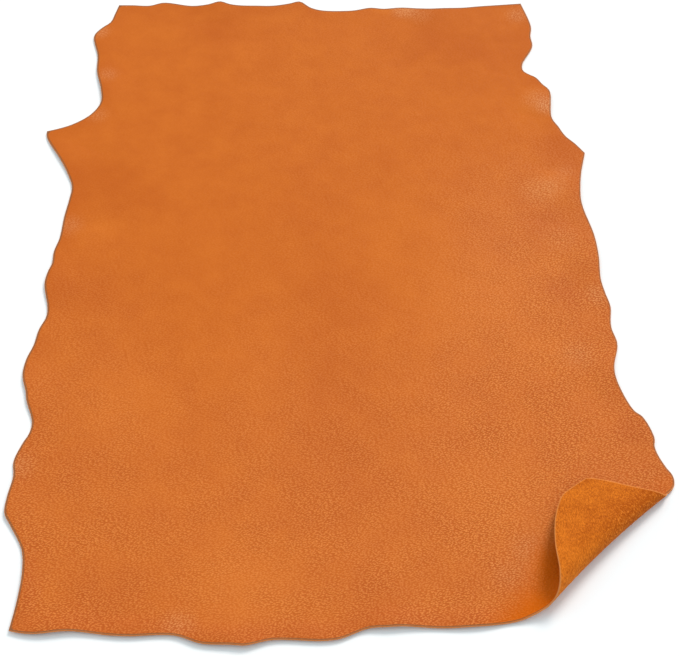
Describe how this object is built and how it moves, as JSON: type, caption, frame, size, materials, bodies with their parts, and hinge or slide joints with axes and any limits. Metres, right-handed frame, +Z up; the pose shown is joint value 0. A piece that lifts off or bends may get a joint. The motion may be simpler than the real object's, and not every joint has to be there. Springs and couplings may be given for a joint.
{
  "type": "leather hide",
  "caption": "Tanned leather skin laid out flat, grain side up, with a wavy trimmed rim and one corner curled back to show the suede underside.",
  "frame": {"origin": "under the middle of the skin's box, on the surface it rests on", "axes": "+Y along the spine line towards the neck end, +Z up out of the grain side, +X across towards the curled corner's side"},
  "size_m": [0.6982, 0.9518, 0.0337],
  "materials": {
    "tan_leather": "soft pebbled grain with a low sheen on top, brushed suede underneath, plain cut edges"
  },
  "bodies": {
    "root": {"hide": "tan_leather"}
  },
  "joints": []
}
